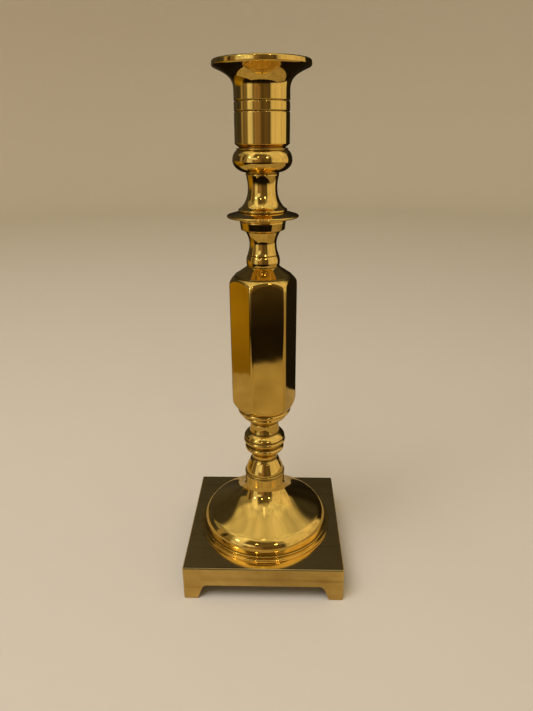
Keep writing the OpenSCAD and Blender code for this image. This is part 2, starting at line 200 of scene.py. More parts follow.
# %% The grinder
def flats_tree():
    tree, given = shape_tree("six_flats", "Piece", ["Flat", "Corner", "Turn", "Ease"])
    flat, corner = given["Flat"], given["Corner"]
    place = add(tree, "SeparateXYZ", {0: add(tree, "GeometryNodeInputPosition")})
    level = add(tree, "CombineXYZ", {0: place.outputs["X"], 1: place.outputs["Y"]})
    radius = add(tree, "VectorMath", {0: level}, operation="LENGTH").outputs["Value"]
    heading = add(tree, "Math", {0: place.outputs["Y"], 1: place.outputs["X"]}, operation="ARCTAN2")
    turned = add(tree, "Math", {0: heading, 1: given["Turn"]}, operation="SUBTRACT")
    sixth = math.radians(30)
    folded = add(tree, "Math", {0: turned, 1: sixth, 2: -sixth}, operation="WRAP")
    off_corner = add(tree, "Math", {0: folded}, operation="ABSOLUTE")
    off_flat = add(tree, "Math", {0: sixth, 1: off_corner}, operation="SUBTRACT")
    flat_cosine = add(tree, "Math", {0: off_flat}, operation="COSINE")
    flat_reach = add(tree, "Math", {0: flat, 1: flat_cosine}, operation="DIVIDE")
    inset = add(tree, "Math", {0: flat, 1: corner}, operation="SUBTRACT")
    centre = add(tree, "Math", {0: inset, 1: math.cos(sixth)}, operation="DIVIDE")
    cosine = add(tree, "Math", {0: off_corner}, operation="COSINE")
    sine = add(tree, "Math", {0: off_corner}, operation="SINE")
    along = add(tree, "Math", {0: centre, 1: cosine}, operation="MULTIPLY")
    across = add(tree, "Math", {0: centre, 1: sine}, operation="MULTIPLY")
    corner_square = add(tree, "Math", {0: corner, 1: corner}, operation="MULTIPLY")
    across_square = add(tree, "Math", {0: across, 1: across}, operation="MULTIPLY")
    room = add(tree, "Math", {0: corner_square, 1: across_square}, operation="SUBTRACT")
    positive = add(tree, "Math", {0: room, 1: 0}, operation="MAXIMUM")
    rest = add(tree, "Math", {0: positive}, operation="SQRT")
    round_reach = add(tree, "Math", {0: along, 1: rest}, operation="ADD")
    end_side = add(tree, "Math", {0: corner, 1: math.sin(sixth)}, operation="MULTIPLY")
    end_front = add(tree, "Math", {0: corner, 1: math.cos(sixth), 2: centre}, operation="MULTIPLY_ADD")
    end_angle = add(tree, "Math", {0: end_side, 1: end_front}, operation="ARCTAN2")
    in_corner = add(tree, "Math", {0: off_corner, 1: end_angle}, operation="LESS_THAN")
    limit = add(tree, "Mix", {"Factor": in_corner, "A": flat_reach, "B": round_reach}, data_type="FLOAT")
    ground = add(tree, "Math", {0: radius, 1: limit, 2: given["Ease"]}, operation="SMOOTH_MIN")
    safe_radius = add(tree, "Math", {0: radius, 1: MM}, operation="MAXIMUM")
    share = add(tree, "Math", {0: ground, 1: safe_radius}, operation="DIVIDE")
    pulled = add(tree, "VectorMath", {0: level, "Scale": share}, operation="SCALE")
    upright = add(tree, "CombineXYZ", {2: place.outputs["Z"]})
    raised = add(tree, "VectorMath", {0: pulled, 1: upright}, operation="ADD")
    moved = add(tree, "GeometryNodeSetPosition", {"Geometry": given["Piece"], "Position": raised})
    return end_shape(tree, given, moved)


FLATS = flats_tree()
print("grinder nodes:", len(FLATS.nodes))

# %% [markdown]
# ## Outlines
# An outline is a list of points, each a distance from the axis and a height, in millimetres. Straight
# stretches need only their ends, and round ones are worked out: curve() leaves one point along one direction
# and arrives at the next along another. A real edge is never sharp, so soften() trades every corner for a
# small round one and crowds a few points beside it, which keeps the long faces flat when they are shaded.

# %% Outline helpers
SPIGOT_LENGTH = 1.6
SPIGOT_RADIUS = 5.0
RECESS_RADIUS = 5.05
RECESS_DEPTH = 1.9
ROD_HOLE_RADIUS = 3.3
EDGE = 0.22
TURNED_STEPS = 240


def curve(a, leave, arrive, b, steps=18):
    """Points from a to b, which leave a along one vector and reach b along another."""
    a, leave, arrive, b = (Vector(p) for p in (a, leave, arrive, b))
    points = []
    for i in range(steps + 1):
        t = i / steps
        s = 1 - t
        points.append(s**3 * a + 3 * s * s * t * (a + leave) + 3 * s * t * t * (b - arrive) + t**3 * b)
    return points


def arc(x, z, radius, start, end, steps=18):
    """Points round (x, z) from one angle to another, in degrees."""
    turns = [math.radians(start + (end - start) * i / steps) for i in range(steps + 1)]
    return [Vector((x + radius * math.cos(t), z + radius * math.sin(t))) for t in turns]


def soften(points, reach=EDGE, sharp=14):
    """Rounds each corner that turns more than sharp degrees, and crowds points beside it."""
    points = [Vector(p) for p in points]
    result = [points[0]]
    for before, here, after in zip(points, points[1:], points[2:]):
        back, on = before - here, after - here
        if back.length < 1e-6 or on.length < 1e-6:
            continue
        if math.degrees(math.pi - back.angle(on)) < sharp:
            result.append(here)
            continue
        size = min(reach, back.length * 0.35, on.length * 0.35)
        start, end = here + back.normalized() * size, here + on.normalized() * size
        result.append(start + back.normalized() * size * 0.5)
        for i in range(5):
            t = i / 4
            result.append((1 - t) ** 2 * start + 2 * t * (1 - t) * here + t * t * end)
        result.append(end + on.normalized() * size * 0.5)
    return result + [points[-1]]


def filled(points, longest=1.2):
    """Divides the long stretches, so that no face is much longer than it is wide."""
    result = [points[0]]
    for a, b in zip(points, points[1:]):
        parts = max(1, math.ceil((b - a).length / longest))
        result += [a.lerp(b, (i + 1) / parts) for i in range(parts)]
    return result


def stacked(outer, height):
    """Closes an outer outline with the recess above, the rod's hole and the spigot below."""
    inside = [(RECESS_RADIUS, height), (RECESS_RADIUS, height - RECESS_DEPTH),
              (ROD_HOLE_RADIUS, height - RECESS_DEPTH), (ROD_HOLE_RADIUS, -SPIGOT_LENGTH),
              (SPIGOT_RADIUS, -SPIGOT_LENGTH), (SPIGOT_RADIUS, 0)]
    shown = filled(soften(outer))
    return shown + [Vector(p) for p in inside] + [shown[0]]


# %% [markdown]
# ## From an outline to a piece
# turn_piece() puts an outline on the lathe. It makes the outline a chain of points, runs the lathe's nodes on
# it, takes the result as a plain mesh and removes the modifier. Grooves are given as heights and radii, and
# each outline point near one is marked as a crevice.

# %% Turn a piece
def chain(name, outline, foot, crevices, spread):
    """The outline as a mesh of points and edges, at its height above the table."""
    mesh = bpy.data.meshes.new(name)
    points = [(p.x * MM, 0, (p.y + foot) * MM) for p in outline]
    mesh.from_pydata(points, [(i, i + 1) for i in range(len(points) - 1)], [])
    marks = mesh.attributes.new("crevice", "FLOAT", "POINT")
    for p, mark in zip(outline, marks.data):
        near = min(((p - Vector(c)).length for c in crevices), default=spread)
        mark.value = max(0, 1 - near / spread)
    piece = bpy.data.objects.new(name, mesh)
    scene.collection.objects.link(piece)
    return piece


def run_nodes(piece, tree, **values):
    """Adds a Geometry Nodes modifier and sets its inputs by their identifiers."""
    modifier = piece.modifiers.new(tree.name, "NODES")
    modifier.node_group = tree
    for socket in tree.interface.items_tree:
        if socket.in_out == "INPUT" and socket.name in values:
            modifier[socket.identifier] = values[socket.name]


def settle(piece, recount=True):
    """Turns what the modifiers make into a plain mesh whose faces point outwards."""
    bpy.context.view_layer.update()
    mesh = bpy.data.meshes.new_from_object(piece.evaluated_get(bpy.context.evaluated_depsgraph_get()))
    piece.modifiers.clear()
    piece.data = mesh
    if recount:
        shape = bmesh.new()
        shape.from_mesh(mesh)
        bmesh.ops.recalc_face_normals(shape, faces=shape.faces)
        shape.to_mesh(mesh)
        shape.free()
    mesh.name = piece.name
    return piece


def stand_for(piece, node):
    """Makes the piece ride on the candlestick in the place of its CAD node."""
    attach(piece, "root")
    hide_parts(node)
    low, high = (Vector(c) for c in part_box(node))
    size = [round(d / MM, 2) for d in piece.dimensions]
    cad_size = [round(d / MM, 2) for d in high - low]
    print(f"{piece.name}: {size} mm, {len(piece.data.polygons)} faces; CAD {cad_size}")
    return piece


def turn_piece(name, node, outline, finish, foot, crevices=(), spread=0.9,
               steps=TURNED_STEPS, flats=None):
    """Turns an outline, grinds flats on it where they are given, and stands it for its CAD node."""
    piece = chain(name, outline, foot, crevices, spread)
    run_nodes(piece, LATHE, Steps=steps, Finish=finish)
    if flats:
        run_nodes(piece, FLATS, Finish=finish, **flats)
    return stand_for(settle(piece), node)


def foot_of(node):
    """The height at which a stacked piece stands, in millimetres: its spigot reaches lower."""
    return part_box(node)[0].z / MM + SPIGOT_LENGTH


def height_of(node):
    """The height of a stacked piece above the one that it stands on, in millimetres."""
    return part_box(node)[1].z / MM - foot_of(node)

# %% [markdown]
# ## Polished brass
# Brass is copper with about a third of zinc, and it keeps its yellow in the reflection itself, so all of its
# colour comes from the metal's base colour. A cloth wheel leaves it mirror-bright, but never perfect: the
# surface keeps a slight waviness from the hand, hair-fine rings from the lathe, a haze where it was held, a
# few dark specks of tarnish, and old polish in the grooves. All of these are drawn from the place of each
# point on the piece, so they stay put from every side. Real lathe rings are too fine to show, so these are
# drawn about half a millimetre apart. Sharp edges take the most rubbing, and the base's bevelled edges get a
# near-white brass that paints a bright highlight line along them.

# %% Brass, polished on a wheel
BRASS = "#F2D27A"
BRASS_TONED = "#E0BB62"
# Near-white brass for the base's rubbed edges, mostly a painted highlight line.
BRASS_WORN_HIGHLIGHT = "#FFF2C0"
TARNISH = "#3A2A12"
OLD_POLISH = "#241808"
WAVE = 14 * MM
RING = 0.55 * MM
HAZE = 22 * MM
SPECK_SPACING = 6 * MM
SPECK = 0.06
DIRT = 0.85
DULLNESS = 0.4
WAVE_DEPTH = 0.03 * MM
RING_DEPTH = 0.0006 * MM
POLISH = 0.04


def polished_brass(name, wave_depth=WAVE_DEPTH, straight=False, tones=(BRASS, BRASS_TONED)):
    """Wheel-polished brass. Rings follow the lathe; straight draws lines up the piece instead."""
    material, tree, place = blank_material(name)
    apart = add(tree, "SeparateXYZ", {0: place})
    level = add(tree, "CombineXYZ", {0: apart.outputs["X"], 1: apart.outputs["Y"]})
    radius = add(tree, "VectorMath", {0: level}, operation="LENGTH").outputs["Value"]
    along = add(tree, "Math", {0: apart.outputs["Z"], 1: radius}, operation="ADD")

    wave = add(tree, "TexNoise", {"Vector": place, "Scale": 1 / WAVE, "Detail": 1})
    haze = add(tree, "TexNoise", {"Vector": place, "Scale": 1 / HAZE, "Detail": 4, "Roughness": 0.6})
    if straight:
        stretched = add(tree, "Mapping", {"Vector": place, "Scale": (1, 1, 0.02)})
        rings = add(tree, "TexNoise", {"Vector": stretched, "Scale": 1 / RING, "Detail": 2})
    else:
        rings = add(tree, "TexNoise", {"W": along, "Scale": 1 / RING, "Detail": 3},
                    noise_dimensions="1D")
    cells = add(tree, "TexVoronoi", {"Vector": place, "Scale": 1 / SPECK_SPACING})
    chance = add(tree, "SeparateColor", {0: cells.outputs["Color"]})
    size = add(tree, "MapRange",
               {"Value": chance.outputs["Red"], "From Min": 0.5, "From Max": 1, "To Min": 0, "To Max": SPECK})
    speck = add(tree, "Math", {0: cells.outputs["Distance"], 1: size}, operation="LESS_THAN")

    crevice = add(tree, "Attribute", attribute_name="crevice").outputs["Fac"]
    toning = add(tree, "MapRange",
                 {"Value": haze, "From Min": 0.35, "From Max": 0.75, "To Min": 0, "To Max": 0.55})
    metal = add(tree, "Mix", {"Factor": toning, 6: linear(tones[0]), 7: linear(tones[1])}, data_type="RGBA")
    dirty = add(tree, "Math", {0: crevice, 1: DIRT}, operation="MULTIPLY")
    grooved = add(tree, "Mix",
                  {"Factor": dirty, 6: metal.outputs[2], 7: linear(OLD_POLISH)}, data_type="RGBA")
    speckled = add(tree, "Math", {0: speck, 1: 0.8}, operation="MULTIPLY")
    colour = add(tree, "Mix",
                 {"Factor": speckled, 6: grooved.outputs[2], 7: linear(TARNISH)}, data_type="RGBA")

    hazy = add(tree, "MapRange",
               {"Value": haze, "From Min": 0.4, "From Max": 0.7, "To Min": POLISH,
                "To Max": POLISH + 0.05})
    dull = add(tree, "Math", {0: dirty, 1: speckled}, operation="MAXIMUM")
    rough = add(tree, "Math", {0: dull, 1: DULLNESS, 2: hazy}, operation="MULTIPLY_ADD")

    waves = add(tree, "Bump", {"Height": wave, "Distance": wave_depth, "Strength": 1})
    lines = add(tree, "Bump", {"Height": rings, "Distance": RING_DEPTH, "Strength": 1, "Normal": waves})
    end_material(tree, colour.outputs[2], Metallic=1, Roughness=rough, Normal=lines)
    return material


TURNED_BRASS = polished_brass("polished_brass_turned")
GROUND_BRASS = polished_brass("polished_brass_ground", wave_depth=2 * WAVE_DEPTH, straight=True)
# The near-white edge brass is a painted highlight for the base's bevels.
EDGE_HIGHLIGHT_BRASS = polished_brass("polished_brass_edge_painted_highlight", tones=(BRASS_WORN_HIGHLIGHT, BRASS_WORN_HIGHLIGHT))
print("brass is", BRASS, "toned to", BRASS_TONED)

# %% [markdown]
# ## The candle socket
# The cup that holds the candle is the most carefully turned piece. Its rim spreads wide to catch wax, with a
# square edge that the light picks out, and two V-shaped lines run round the cup. The bore is sized for a
# standard taper candle, with a small chamfer at its mouth.

# %% Turn the candle socket
CANDLE_RADIUS = 11.2
CANDLE_DEPTH = 27
CUP_RADIUS = 13.0
RIM_EDGE = 2.8
FLARE_HEIGHT = 9.4
GROOVES = (15.3, 19.7)
GROOVE_WIDTH = 0.8
GROOVE_DEPTH = 0.45
ROD_GRIP = 7


def socket_outline(height, rim):
    under_rim = height - RIM_EDGE
    cup = [(11.1, 0), (11.6, 0.4), (CUP_RADIUS, 1.4)]
    for groove in GROOVES:
        cup += [(CUP_RADIUS, groove - GROOVE_WIDTH / 2), (CUP_RADIUS - GROOVE_DEPTH, groove),
                (CUP_RADIUS, groove + GROOVE_WIDTH / 2)]
    flare = curve((CUP_RADIUS, under_rim - FLARE_HEIGHT), (0, 4.4), (4.2, 2), (rim - 3.2, under_rim - 1.2))
    edge = [(rim - 0.5, under_rim), (rim, under_rim + 0.5), (rim - 0.12, height - 0.5), (rim - 0.6, height)]
    mouth = [(CANDLE_RADIUS + 0.6, height), (CANDLE_RADIUS, height - 0.6),
             (CANDLE_RADIUS, height - CANDLE_DEPTH), (0, height - CANDLE_DEPTH)]
    below = [(0, ROD_GRIP), (3, ROD_GRIP), (3, -SPIGOT_LENGTH), (SPIGOT_RADIUS, -SPIGOT_LENGTH),
             (SPIGOT_RADIUS, 0)]
    shown = filled(soften(cup + flare + edge + mouth))
    return [Vector(p) for p in below] + shown


def candle_socket():
    node = "candle_socket"
    height, rim = height_of(node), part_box(node)[1].x / MM
    outline = socket_outline(height, rim)
    # The lathe works from the axis to the axis, so the blind hole comes first and the candle's bore last.
    grooves = [(CUP_RADIUS - GROOVE_DEPTH, g) for g in GROOVES]
    return turn_piece("socket", node, outline, TURNED_BRASS, foot_of(node), grooves, spread=0.45)


candle_socket()

# %% [markdown]
# ## The bulb and the upper neck
# Under the cup sits a fat bulb with one thin ring above it, and under that a neck shaped like a trumpet. A
# curve with handles gives both: the bulb leaves its seat nearly flat and stands upright at its widest, and
# the neck flows from a wide foot to a narrow waist and out again to a lip.

# %% Turn the bulb and the upper neck
def bulb_knop():
    node = "bulb_knop"
    height, wide = height_of(node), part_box(node)[1].x / MM
    ring = height - 1.4
    outer = [(8, 0)] + curve((8.2, 0.3), (3.2, 0.2), (0, 2.6), (wide, 5.6))
    outer += curve((wide, 5.6), (0, 2), (-1.1, 1), (12.55, ring))[1:]
    outer += [(12.05, ring + 0.2)] + arc(11.95, ring + 0.6, 0.4, -90, 90, 8)
    outer += [(11.1, height - 0.4), (11.1, height)]
    return turn_piece("bulb", node, stacked(outer, height), TURNED_BRASS, foot_of(node),
                      [(12.05, ring + 0.1), (11.1, height - 0.2)], spread=0.5)


def upper_neck():
    node = "upper_neck"
    height, foot = height_of(node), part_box(node)[1].x / MM
    outer = [(foot, 0), (foot, 1.1), (foot - 0.4, 1.4)]
    outer += curve((foot - 0.4, 1.4), (-2.4, 1.2), (0, 4.5), (7.15, 11))
    outer += curve((7.15, 11), (0, 2.5), (0.4, 1.4), (8, height - 1))[1:]
    outer += [(8, height)]
    return turn_piece("upper_neck_turned", node, stacked(outer, height), TURNED_BRASS, foot_of(node),
                      [(8, height)], spread=0.5)


bulb_knop()
upper_neck()

# %% [markdown]
# ## The drip disc and the neck below it
# The disc catches what the rim doesn't. It is thin at its edge and a little cone-shaped on top, so wax runs
# outwards. Below it a stepped collar narrows to a waist, and a small bead closes the neck on the column.

# %% Turn the drip disc and the column's neck
def drip_disc():
    node = "drip_disc"
    height, edge = height_of(node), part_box(node)[1].x / MM
    outer = [(12.2, 0), (12.2, 0.6), (11.8, 0.8), (edge - 0.5, 1.3), (edge, 1.7), (edge, 2.2),
             (edge - 0.4, 2.6), (12, height)]
    return turn_piece("disc", node, stacked(outer, height), TURNED_BRASS, foot_of(node),
                      [(11.8, 0.8), (12, height)], spread=0.5)


def column_neck():
    node = "column_neck"
    height = height_of(node)
    collar = height - 4.5
    outer = [(8.2, 0)] + curve((8.2, 0.2), (0.5, 1.7), (-0.75, 1.5), (7.9, 5.6)) + [(7.5, 5.8)]
    outer += curve((7.8, 6.1), (-0.5, 1.4), (0, 2), (6.8, 11.4))
    outer += curve((6.8, 11.4), (0, 2.2), (1.1, 2), (8.7, collar - 0.9))[1:]
    outer += [(10.9, collar), (11.5, height)]
    return turn_piece("neck", node, stacked(outer, height), TURNED_BRASS, foot_of(node),
                      [(7.5, 5.8), (8.7, collar - 0.8), (8.2, 0)], spread=0.5)


drip_disc()
column_neck()

# %% [markdown]
# ## The six-sided column
# The column is the heart of the candlestick. The lathe gives it a cone and a dome above, two round rings
# below, and a body that is left too thick. The grinder then takes six flats off it. Where a flat runs up into
# the dome it makes a low arch, and each corner keeps a narrow polished edge.

# %% Turn and grind the column
COLUMN_FLAT = 15.55
COLUMN_CORNER = 2.2
COLUMN_TURN = 9.5
COLUMN_EASE = 1.5
COLUMN_BLANK = 19.4
LOW_RING = 1.25
FOOT_RING = 1.45
COLUMN_STEPS = 480


def hex_column():
    node = "hex_column"
    height = height_of(node)
    low_ring = arc(11.1, 4.9, LOW_RING, -60, 65, 14)
    foot_ring = arc(13.2, 8.1, FOOT_RING, -55, 65, 14)
    outer = [(7.9, 0), (7.9, 0.3)] + curve((8.2, 0.6), (0.6, 1.4), (0.9, 0.9), (10.8, 3.5))
    outer += low_ring + foot_ring + curve((15, 10), (1.4, 1.1), (0.2, 2.6), (18.6, 16), 30)
    outer += [(COLUMN_BLANK, 20), (COLUMN_BLANK, height - 16)]
    outer += curve((18.5, height - 10.5), (-0.2, 2.2), (-1.5, 1.2), (14.9, height - 5), 34)
    outer += [(14.45, height - 4.75)]
    outer += curve((14.6, height - 4.45), (-2, 1.25), (-0.9, 0.9), (8.2, height))
    return turn_piece("column", node, stacked(outer, height), GROUND_BRASS, foot_of(node),
                      [(14.5, height - 4.7), low_ring[-1], foot_ring[-1], (8.2, 0.4), (9.6, 2.2)], spread=1,
                      steps=COLUMN_STEPS,
                      flats=dict(Flat=COLUMN_FLAT * MM, Corner=COLUMN_CORNER * MM,
                                 Turn=math.radians(COLUMN_TURN), Ease=COLUMN_EASE * MM))


hex_column()

# %% [markdown]
# ## The ball and the vase
# Below the column a ball sits on a small vase. Two round rings are turned under the ball, and each one
# mirrors the whole room again, which makes its bright and dark bands. The vase ends in a fine bead on the
# bell's neck.

# %% Turn the ball and the vase
BALL_RING = 1.55


def ball_knop():
    node = "ball_knop"
    height, wide = height_of(node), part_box(node)[1].x / MM
    low_ring = arc(9.5, 7, BALL_RING, -50, 70, 14)
    high_ring = arc(wide - BALL_RING, 11.6, BALL_RING, -50, 65, 14)
    outer = [(7.3, 0), (7.3, 2)] + curve((7.3, 2), (0.2, 1.6), (1.2, 1.2), (10.3, 5.6))[1:]
    outer += low_ring + high_ring + curve((11.5, 13.9), (-0.4, 1.5), (-1.1, 0.9), (8.9, 17))
    outer += curve((8.55, 17.1), (-0.3, 1), (0, 1.2), (7.8, height - 0.6), 10) + [(7.8, height)]
    return turn_piece("ball", node, stacked(outer, height), TURNED_BRASS, foot_of(node),
                      [low_ring[-1], high_ring[0], high_ring[-1], (7.3, 0), (8, 3), (8.6, 17.1)], spread=1)


def vase_collar():
    node = "vase_collar"
    height = height_of(node)
    outer = [(11.1, 0)] + arc(11, 0.5, 0.5, -90, 90, 8)
    outer += curve((10.9, 1), (-0.05, 2), (-1.2, 3), (8.3, height - 1.6))
    outer += [(7.3, height - 0.4), (7.3, height)]
    return turn_piece("vase", node, stacked(outer, height), TURNED_BRASS, foot_of(node),
                      [(10.9, 1.05), (7.3, height - 0.3), (11.1, 0)], spread=0.45)


ball_knop()
vase_collar()

# %% [markdown]
# ## The bell foot
# The bell spreads the load. Its neck flares out like a trumpet and rolls over a round shoulder to an upright
# band, a fine bead and a flat step. It is hollow, with a boss in the middle that takes the rod's pull.

# %% Turn the bell foot
BELL_ROUND = 8
BELL_ROUND_ANGLE = 62
BELL_WALL = 3.2
BELL_NECK = 11.4
BELL_NECK_HEIGHT = 5.3
BELL_STEP = 1.4
BELL_BEAD = 0.8
BELL_BAND = 1.9


def bell_foot():
    node = "bell_foot"
    low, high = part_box(node)
    foot, height, step = low.z / MM, (high.z - low.z) / MM, high.x / MM
    band, bead = step - 2.6, step - 1.9
    middle = (band - BELL_ROUND, BELL_STEP + BELL_BEAD + BELL_BAND)
    turned = math.radians(BELL_ROUND_ANGLE)
    along = Vector((-math.sin(turned), math.cos(turned))) * 11
    shoulder = arc(*middle, BELL_ROUND, 0, BELL_ROUND_ANGLE)
    inner = arc(*middle, BELL_ROUND - BELL_WALL, 0, BELL_ROUND_ANGLE, 8)
    outer = [(step, 0), (step, BELL_STEP - 0.3), (step - 0.3, BELL_STEP)]
    outer += arc(bead - BELL_BEAD / 2, BELL_STEP + BELL_BEAD / 2, BELL_BEAD / 2, -90, 90, 8)
    outer += [(band, BELL_STEP + BELL_BEAD)] + shoulder
    outer += curve(shoulder[-1], along, (0, 9), (BELL_NECK, height - BELL_NECK_HEIGHT), 40)[1:]
    outer += [(BELL_NECK, height)]
    cavity = curve(inner[-1], along, (0, 4), (9, height - BELL_NECK_HEIGHT - 9), 12)
    inside = [(RECESS_RADIUS, height), (RECESS_RADIUS, height - RECESS_DEPTH),
              (ROD_HOLE_RADIUS, height - RECESS_DEPTH), (ROD_HOLE_RADIUS, 0), (9, 0)]
    inside += cavity[::-1] + inner[::-1] + [(band - BELL_WALL, 0)]
    shown = filled(soften(outer))
    outline = shown + [Vector(p) for p in inside] + [shown[0]]
    grooves = [(step - 2.4, BELL_STEP), (band, BELL_STEP + BELL_BEAD), (BELL_NECK, height)]
    return turn_piece("bell", node, outline, TURNED_BRASS, foot, grooves, spread=0.6)


bell_foot()

# %% [markdown]
# ## Satin brass and raw brass
# The base is buffed on a belt and left a little satin, with straight marks and darker streaks across it, and
# it has toned unevenly. Its underside was never touched after casting, so it keeps the grain of the sand.
# Straight marks come from a noise that is stretched a long way in one direction. They are drawn half a
# millimetre wide, because those of a real belt would be too fine to show.

# %% Brass for the base
SATIN_BRASS = "#FAE09A"
SATIN_TONED = "#EACC88"
SATIN_STREAK = "#9A783C"
MOTTLE = 16 * MM
STREAK = 1.4 * MM
CAST_BRASS = "#8E6A34"
CAST_DARK = "#4A351A"
MARK = 0.5 * MM
MARK_LENGTH = 60
MARK_DEPTH = 0.005 * MM
SAND_GRAIN = 0.7 * MM
SAND_DEPTH = 0.12 * MM


def satin_brass():
    """Brass buffed on a belt, with straight marks across each face."""
    material, tree, place = blank_material("satin_brass_buffed")
    haze = add(tree, "TexNoise", {"Vector": place, "Scale": 1 / MOTTLE, "Detail": 6, "Roughness": 0.7})
    stretched = add(tree, "Mapping", {"Vector": place, "Scale": (1 / MARK_LENGTH, 1, 1)})
    marks = add(tree, "TexNoise", {"Vector": stretched, "Scale": 1 / MARK, "Detail": 3})
    streaks = add(tree, "TexNoise", {"Vector": stretched, "Scale": 1 / STREAK, "Detail": 2})
    toning = add(tree, "MapRange",
                 {"Value": haze, "From Min": 0.35, "From Max": 0.68, "To Min": 0, "To Max": 1})
    metal = add(tree, "Mix",
                {"Factor": toning, 6: linear(SATIN_BRASS), 7: linear(SATIN_TONED)}, data_type="RGBA")
    worn = add(tree, "MapRange",
               {"Value": streaks, "From Min": 0.55, "From Max": 0.72, "To Min": 0, "To Max": 0.35})
    streaked = add(tree, "Mix",
                   {"Factor": worn, 6: metal.outputs[2], 7: linear(SATIN_STREAK)}, data_type="RGBA")
    rough = add(tree, "MapRange",
                {"Value": haze, "From Min": 0.3, "From Max": 0.7, "To Min": 0.07, "To Max": 0.16})
    lines = add(tree, "Bump", {"Height": marks, "Distance": MARK_DEPTH, "Strength": 1})
    end_material(tree, streaked.outputs[2], Metallic=1, Roughness=rough, Normal=lines)
    return material


def cast_brass():
    """Brass as it came from the sand mould, dull and grainy."""
    material, tree, place = blank_material("cast_brass_raw")
    grain = add(tree, "TexNoise", {"Vector": place, "Scale": 1 / SAND_GRAIN, "Detail": 4})
    stain = add(tree, "TexNoise", {"Vector": place, "Scale": 1 / HAZE, "Detail": 5})
    mottled = add(tree, "Math", {0: grain, 1: stain}, operation="ADD")
    shade = add(tree, "MapRange",
                {"Value": mottled, "From Min": 0.75, "From Max": 1.3, "To Min": 0, "To Max": 1})
    metal = add(tree, "Mix",
                {"Factor": shade, 6: linear(CAST_DARK), 7: linear(CAST_BRASS)}, data_type="RGBA")
    lumps = add(tree, "Bump", {"Height": grain, "Distance": SAND_DEPTH, "Strength": 1})
    end_material(tree, metal.outputs[2], Metallic=1, Roughness=0.55, Normal=lumps)
    return material


SATIN = satin_brass()
CAST = cast_brass()
print("base metals:", SATIN.name, "and", CAST.name)

# %% [markdown]
# ## The base
# The CAD model already holds the base's true shape: a square plate with a skirt, four feet and an arch on
# each side. A copy of its mesh is merged into whole faces again, and a bevel takes the sharpness off every
# edge, as the belt does. The bevels get the near-white edge brass, a painted highlight line. The faces that
# look into the hollow get the raw finish.

# %% Make the base from its CAD node
BASE_EDGE = 0.6 * MM


def base_plate():
    node = "base_plate"
    low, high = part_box(node)
    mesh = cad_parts[node].data.copy()
    mesh.materials.clear()
    mesh.materials.append(SATIN)
    mesh.materials.append(CAST)
    mesh.materials.append(EDGE_HIGHLIGHT_BRASS)
    shape = bmesh.new()
    shape.from_mesh(mesh)
    bmesh.ops.remove_doubles(shape, verts=shape.verts, dist=TOUCHING)
    bmesh.ops.dissolve_limit(shape, angle_limit=math.radians(0.5), verts=shape.verts, edges=shape.edges)
    half, floor = high.x - 0.5 * MM, high.z - 1.4 * MM
    for face in shape.faces:
        face.smooth = True
        centre = face.calc_center_median()
        hidden = max(abs(centre.x), abs(centre.y)) < half and centre.z < floor
        face.material_index = 1 if hidden else 0
    shape.to_mesh(mesh)
    shape.free()
    piece = bpy.data.objects.new("base", mesh)
    scene.collection.objects.link(piece)
    bevel = piece.modifiers.new("worn edges", "BEVEL")
    bevel.width = BASE_EDGE
    bevel.segments = 3
    # The bevels take the near-white edge brass, which paints a highlight line along each edge.
    bevel.material = 2
    bevel.limit_method = "ANGLE"
    bevel.angle_limit = math.radians(25)
    bevel.harden_normals = True
    bevel.use_clamp_overlap = True
    piece.modifiers.new("flat faces stay flat", "WEIGHTED_NORMAL").keep_sharp = True
    settle(piece, recount=False)
    return stand_for(piece, node)


base_plate()

# %% [markdown]
# ## The tie rod and its nut
# A steel rod runs up the hollow middle, screws into the socket and is pulled tight by a nut in the base. Its
# parts are bought ones, plated with zinc: a thin bluish-silver coat, a little dull, with darker threads. The
# thread is a third node tree. It takes a turned rod that has a row of points every eighth of a millimetre,
# and pulls each point in by a saw-tooth wave that climbs one pitch for each turn.

# %% Zinc-plated steel
ZINC = "#C6C8CA"
ZINC_DULL = "#8D9196"
SPANGLE = 2.5 * MM


def zinc_plated_steel():
    """Steel with a thin, slightly spangled coat of zinc."""
    material, tree, place = blank_material("zinc_plated_steel")
    cloud = add(tree, "TexNoise", {"Vector": place, "Scale": 1 / SPANGLE, "Detail": 4})
    shade = add(tree, "MapRange", {"Value": cloud, "From Min": 0.35, "From Max": 0.7})
    metal = add(tree, "Mix", {"Factor": shade, 6: linear(ZINC), 7: linear(ZINC_DULL)}, data_type="RGBA")
    rough = add(tree, "MapRange", {"Value": cloud, "To Min": 0.24, "To Max": 0.42})
    end_material(tree, metal.outputs[2], Metallic=1, Roughness=rough)
    return material


